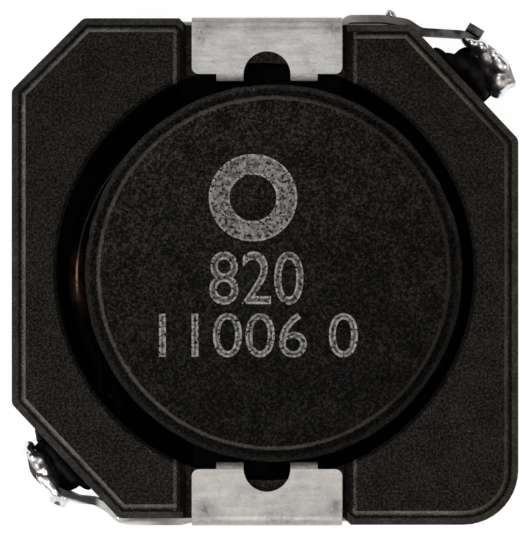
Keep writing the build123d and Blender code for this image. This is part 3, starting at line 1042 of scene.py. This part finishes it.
# %% Fill the hooks
# Each ball: along, out, height, then its three radii; the last is a bead back along the arm
START_BALLS = (
    (-0.50, 0.68, 1.55, 0.14, 0.10, 0.20),
    (-0.38, 0.71, 1.60, 0.14, 0.12, 0.20),
    (-0.19, 0.80, 1.58, 0.20, 0.16, 0.24),
    (0.04, 0.70, 1.52, 0.19, 0.16, 0.26),
    (0.10, 0.87, 1.58, 0.18, 0.13, 0.20),
    (0.34, 0.82, 1.56, 0.24, 0.20, 0.26),
    (0.58, 0.56, 1.54, 0.24, 0.24, 0.28),
    (0.64, 0.74, 1.46, 0.20, 0.14, 0.30),
    (0.66, 0.44, 1.32, 0.18, 0.17, 0.32),
    (0.25, 0.60, 1.15, 0.55, 0.18, 0.42),
    (-1.914, -0.09, 1.60, 0.15, 0.10, 0.13),
)
FINISH_BALLS = (
    (-0.42, 0.56, 1.50, 0.16, 0.11, 0.20),
    (-0.22, 0.64, 1.54, 0.20, 0.14, 0.22),
    (0.00, 0.60, 1.55, 0.24, 0.19, 0.26),
    (0.18, 0.66, 1.52, 0.20, 0.12, 0.26),
    (0.22, 0.50, 1.45, 0.22, 0.20, 0.32),
    (0.42, 0.54, 1.58, 0.20, 0.13, 0.24),
    (0.44, 0.42, 1.56, 0.18, 0.16, 0.24),
    (0.60, 0.50, 1.54, 0.17, 0.12, 0.26),
    (0.70, 0.50, 1.38, 0.18, 0.12, 0.32),
    (0.80, 0.42, 1.22, 0.12, 0.12, 0.30),
    (0.25, 0.44, 1.15, 0.50, 0.16, 0.42),
    (-1.463, 0.07, 1.60, 0.13, 0.08, 0.12),
)
SOLDER_VOXEL = 0.022
SOLDER_UNEVENNESS = 0.02
start_lump = lump(START_BALLS, 1, SOLDER_VOXEL, SOLDER_UNEVENNESS, seed=3.0)
finish_lump = lump(FINISH_BALLS, -1, SOLDER_VOXEL, SOLDER_UNEVENNESS, seed=8.0)
piece("start_joint", *start_lump, START_SOLDER, "solder", ["start_solder"])
piece("finish_joint", *finish_lump, FINISH_SOLDER, "solder", ["finish_solder"])

# %% [markdown]
# ## Charred enamel
# The solder's heat burnt the enamel off the leads before their hooks, and the ash stays
# round them as a black crust. Its black also stands for the deep shade in the hollow
# between chamfer and hook, so it is partly painted shade. It is melted from balls as the
# solder is, with coarser voxels and a rougher skin, and its finish is black with a faint
# brown.

# %% Mix the crust's finish
CRUST_DARK = (0.002, 0.0015, 0.0015, 1)
CRUST_PALE = (0.007, 0.004, 0.004, 1)


def charred_enamel_and_shade():
    """Black crust: charred enamel, and painted shade in the hollow before the hook"""
    recipe = Recipe("charred_enamel_and_shade")
    crust = recipe.noise(9.0, 4.0, 0.65)
    return recipe.surface(
        Base_Color=recipe.colour(crust, CRUST_DARK, CRUST_PALE),
        Roughness=0.55 + 0.3 * crust,
        Specular_IOR_Level=0.25,
        Normal=recipe.bump(crust, 0.03),
    )


CHAR_AND_SHADE = charred_enamel_and_shade()
print("crust's finish:", CHAR_AND_SHADE.name)

# %% Char the leads between chamfer and hook, and paint the shade there
START_CRUST = (
    (-0.64, 0.08, 1.00, 0.22, 0.13, 0.25),
    (-0.40, 0.18, 1.12, 0.22, 0.17, 0.28),
    (-0.18, 0.28, 1.22, 0.26, 0.22, 0.36),
    (0.12, 0.30, 1.28, 0.28, 0.24, 0.40),
    (0.38, 0.26, 1.26, 0.24, 0.20, 0.38),
    (0.50, 0.22, 1.10, 0.15, 0.14, 0.28),
)
FINISH_CRUST = (
    (-0.50, 0.10, 1.05, 0.20, 0.12, 0.25),
    (-0.22, 0.20, 1.20, 0.26, 0.17, 0.34),
    (0.10, 0.20, 1.28, 0.28, 0.18, 0.38),
    (0.42, 0.16, 1.26, 0.26, 0.16, 0.36),
    (0.70, 0.12, 1.20, 0.20, 0.12, 0.30),
    (0.88, 0.05, 1.14, 0.12, 0.10, 0.22),
)
CRUST_VOXEL = 0.03
CRUST_UNEVENNESS = 0.05
start_crust = lump(START_CRUST, 1, CRUST_VOXEL, CRUST_UNEVENNESS, seed=5.0)
finish_crust = lump(FINISH_CRUST, -1, CRUST_VOXEL, CRUST_UNEVENNESS, seed=11.0)
piece("start_char_and_shade", *start_crust, CHAR_AND_SHADE, "enamelled_copper")
piece("finish_char_and_shade", *finish_crust, CHAR_AND_SHADE, "enamelled_copper")

# %% [markdown]
# ## Print
# The drum's top carries plain digits and a plain ring in thin pale ink. The stamp squeezed
# the ink towards the edges of each stroke, so a stroke is a thin even film with a paler line
# along its edge. The ferrite's grain shows through, so the ink is full of small holes.

# %% Mix the ink
def ragged_ink(name, dark, pale):
    """Pale ink between two greys, with small holes in it"""
    recipe = Recipe(name)
    grain = recipe.noise(12.0, 3.0, 0.7).rise(0.3, 0.7)
    holes = recipe.noise(16.0, 2.0, 0.6)
    return recipe.surface(
        Base_Color=recipe.colour(grain, grey(dark, 0.03), grey(pale, 0.03)),
        Roughness=0.8,
        Specular_IOR_Level=0.2,
        Alpha=holes.rise(0.37, 0.47),
    )


THICK = ragged_ink("thick_ink", 0.05, 0.30)
THIN = ragged_ink("thin_ink", 0.03, 0.17)
EDGE = ragged_ink("gathered_ink", 0.12, 0.42)
print("inks:", THICK.name, THIN.name, EDGE.name)

# %% Stamp the ink
INK_FILM = 0.004
INK_EDGE = 0.022
EDGE_FOOT = 1.5 * INK_FILM
EDGE_CROWN = 1.9 * INK_FILM


def drawn_mesh(setting):
    """The points and faces that a curve is drawn with at present"""
    bpy.context.view_layer.update()
    drawn = setting.evaluated_get(bpy.context.evaluated_depsgraph_get())
    flat = bpy.data.meshes.new_from_object(drawn)
    spots = np.array([tuple(vert.co) for vert in flat.vertices])
    return spots, [tuple(face.vertices) for face in flat.polygons]


def stamp(name, outline, ink, middle, size):
    """A film of ink inside closed curves, and a paler line along them, fitted in mm"""
    setting = bpy.data.objects.new(name + "_setting", outline)
    bpy.context.scene.collection.objects.link(setting)
    film, film_faces = drawn_mesh(setting)
    low = film.min(axis=0)
    high = film.max(axis=0)
    centre = (low + high) / 2
    scale_x = size[0] / (high[0] - low[0])
    scale_y = size[1] / (high[1] - low[1])
    outline.fill_mode = "NONE"
    outline.bevel_depth = INK_EDGE / scale_y
    outline.bevel_resolution = 1
    line, line_faces = drawn_mesh(setting)
    bpy.data.objects.remove(setting)

    def placed(spots, foot, crown):
        """Points in mm on the drum's top; those above the curve's plane lie on the crown"""
        points = []
        for x, y, z in spots - centre:
            lift = crown if z > 0 else foot
            flat = (middle[0] + x * scale_x, middle[1] + y * scale_y)
            points.append((*flat, DRUM_HIGH.z + lift))
        return points

    film_points = placed(film, INK_FILM, INK_FILM)
    line_points = placed(line, EDGE_FOOT, EDGE_CROWN)
    piece(name + "_film", film_points, film_faces, ink, "drum_ferrite", smooth=False)
    piece(name + "_edge", line_points, line_faces, EDGE, "drum_ferrite", smooth=False)


def digits(name, words, boldness):
    """A line of plain digits as curves"""
    letters = bpy.data.curves.new(name, "FONT")
    letters.body = words
    letters.offset = boldness
    letters.resolution_u = 6
    return letters


value = digits("value", "820", -0.008)
series = digits("series", "11006 0", -0.014)
stamp("ink_value", value, THIN, middle=(-0.17, -0.13), size=(1.84, 1.02))
stamp("ink_series", series, THIN, middle=(-0.13, -1.27), size=(3.92, 0.84))

# %% Stamp the ring
RING_HOLE = 0.57
RING_SIDES = 72


def ring_outline(name, radii, sides):
    """Closed plain circles as curves"""
    curve = bpy.data.curves.new(name, "CURVE")
    curve.dimensions = "2D"
    curve.fill_mode = "BOTH"
    for radius in radii:
        line = curve.splines.new("POLY")
        line.points.add(sides - 1)
        line.use_cyclic_u = True
        for side, point in enumerate(line.points):
            angle = 2 * math.pi * side / sides
            point.co = (radius * math.cos(angle), radius * math.sin(angle), 0, 1)
    return curve


ring = ring_outline("ring", (1.0, RING_HOLE), RING_SIDES)
stamp("ink_ring", ring, THICK, middle=(-0.24, 1.47), size=(1.72, 1.70))
